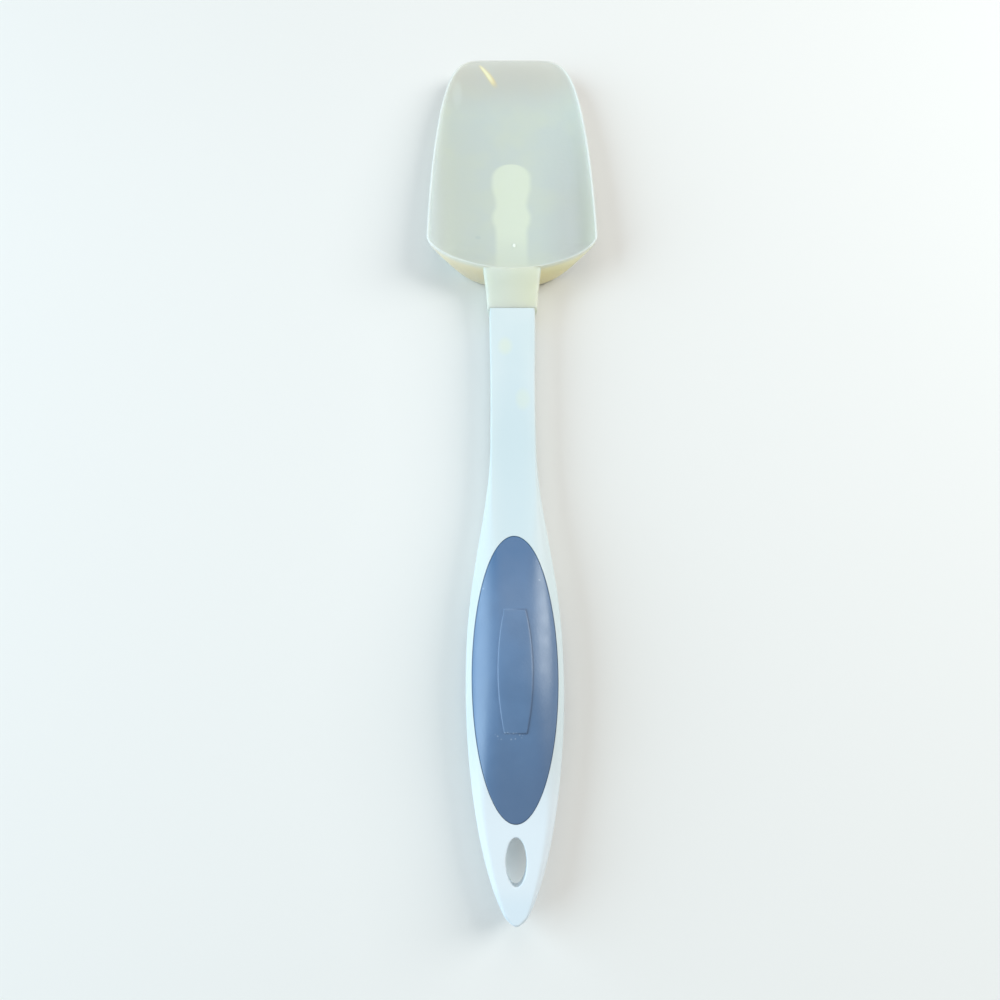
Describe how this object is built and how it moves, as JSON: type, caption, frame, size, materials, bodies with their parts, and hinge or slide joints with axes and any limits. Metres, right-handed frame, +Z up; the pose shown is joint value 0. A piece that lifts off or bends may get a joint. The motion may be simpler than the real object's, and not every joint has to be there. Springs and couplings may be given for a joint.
{
  "type": "spoon spatula",
  "caption": "Kitchen spatula with a soft spoon-shaped blade moulded over the handle's tang, oval soft-touch grip inlays and a hang hole, for scooping, scraping and stirring.",
  "frame": {"origin": "middle of the bounding box in X and Y, on the surface that the spatula rests on", "axes": "+Y runs from the handle's tail to the tip of the blade, +X across, +Z up out of the spoon's hollow"},
  "size_m": [0.06, 0.305, 0.0183],
  "materials": {
    "head": "satin, milky and translucent",
    "handle": "satin white",
    "grip": "smooth soft-touch, blue-grey"
  },
  "bodies": {
    "root": {"spoon_head": "head", "handle": "handle", "front_grip": "grip", "rear_grip": "grip"}
  },
  "joints": []
}
